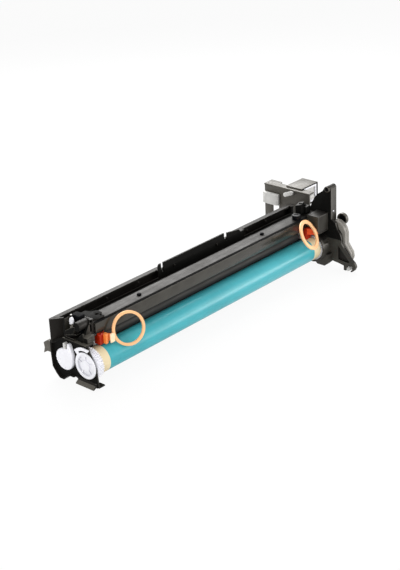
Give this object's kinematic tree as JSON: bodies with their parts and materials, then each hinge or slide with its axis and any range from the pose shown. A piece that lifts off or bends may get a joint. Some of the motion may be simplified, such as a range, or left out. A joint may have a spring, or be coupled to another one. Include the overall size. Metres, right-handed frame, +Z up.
{
  "type": "printer drum unit",
  "caption": "Long drum unit of an office copier: coated drum between two end plates, cleaner housing above and behind it, waste screw, charge roller and orange pull rings.",
  "frame": {"origin": "middle of the underside: centre of the overall box in X and Y, at the height of the feet", "axes": "+X along the drum towards its drive end, +Y towards the back wall of the cleaner housing, +Z up"},
  "size_m": [0.467, 0.1574, 0.1073],
  "materials": {
    "black_plastic": "black moulded plastic, fine satin grain",
    "gloss_black": "smooth black plastic",
    "drum_coating": "cyan photosensitive coating on an aluminium tube, smooth and glossy",
    "white_plastic": "white moulded plastic",
    "orange_plastic": "orange moulded plastic",
    "steel": "bright steel",
    "roller_rubber": "black conductive rubber",
    "blade_urethane": "amber urethane rubber",
    "grey_plastic": "light grey moulded plastic",
    "bracket_grey": "dark grey moulded plastic"
  },
  "bodies": {
    "frame": {"cleaner_housing": "black_plastic", "charger_panel": "gloss_black", "blade_holder": "steel", "cleaning_blade": "blade_urethane", "blade_screw_front": "steel", "blade_screw_rear": "steel", "rail_screw_front": "steel", "rail_screw_rear": "steel", "seal_sheet": "white_plastic", "front_end_plate": "black_plastic", "drum_bearing_front": "white_plastic", "screw_cap": "white_plastic", "screw_lock_lever": "white_plastic", "front_block": "black_plastic", "white_clip": "white_plastic", "rail_bracket": "black_plastic", "front_retainer": "orange_plastic", "rear_retainer": "orange_plastic", "rear_end_plate": "black_plastic", "contact_housing": "black_plastic", "rear_cover": "grey_plastic", "rear_drive_boss": "black_plastic", "hook_pin": "white_plastic", "rail_post": "black_plastic", "rail_cap": "gloss_black", "rear_bracket": "bracket_grey", "connector_box": "bracket_grey", "connector_insert": "white_plastic", "connector_latch": "white_plastic", "guide_pin": "white_plastic", "drum_pin_front": "steel", "drum_pin_rear": "steel", "charge_spring_front": "steel", "charge_spring_rear": "steel"},
    "drum": {"drum_tube": "drum_coating", "drum_flange_front": "white_plastic", "drum_drive_gear": "white_plastic"},
    "waste_auger": {"waste_screw": "white_plastic", "waste_gear": "white_plastic"},
    "charge_bearings": {"charge_bearing_front": "white_plastic", "charge_bearing_rear": "white_plastic"},
    "charge_roller_body": {"charge_roller": "roller_rubber", "charge_shaft": "steel"}
  },
  "joints": [
    {"name": "drum_spin", "type": "hinge", "parent": "frame", "child": "drum", "pos_m": [0, -0.0223, 0.027], "axis": [1, 0, 0], "continuous": true},
    {"name": "waste_screw_spin", "type": "hinge", "parent": "frame", "child": "waste_auger", "pos_m": [0, 0.0073, 0.027], "axis": [1, 0, 0], "continuous": true},
    {"name": "charge_lift", "type": "slide", "parent": "frame", "child": "charge_bearings", "axis": [0, 0, 1], "range_m": [0, 0.0015], "stiffness_N_per_m": 400, "springref_m": -0.002, "deforming": ["charge_spring_front", "charge_spring_rear"]},
    {"name": "charge_roller_spin", "type": "hinge", "parent": "charge_bearings", "child": "charge_roller_body", "pos_m": [0, -0.01048, 0.04591], "axis": [1, 0, 0], "continuous": true}
  ],
  "couplings": [
    {"joint": "waste_screw_spin", "follows": "drum_spin", "ratio": -1.2424},
    {"joint": "charge_roller_spin", "follows": "drum_spin", "ratio": -2.1429}
  ]
}
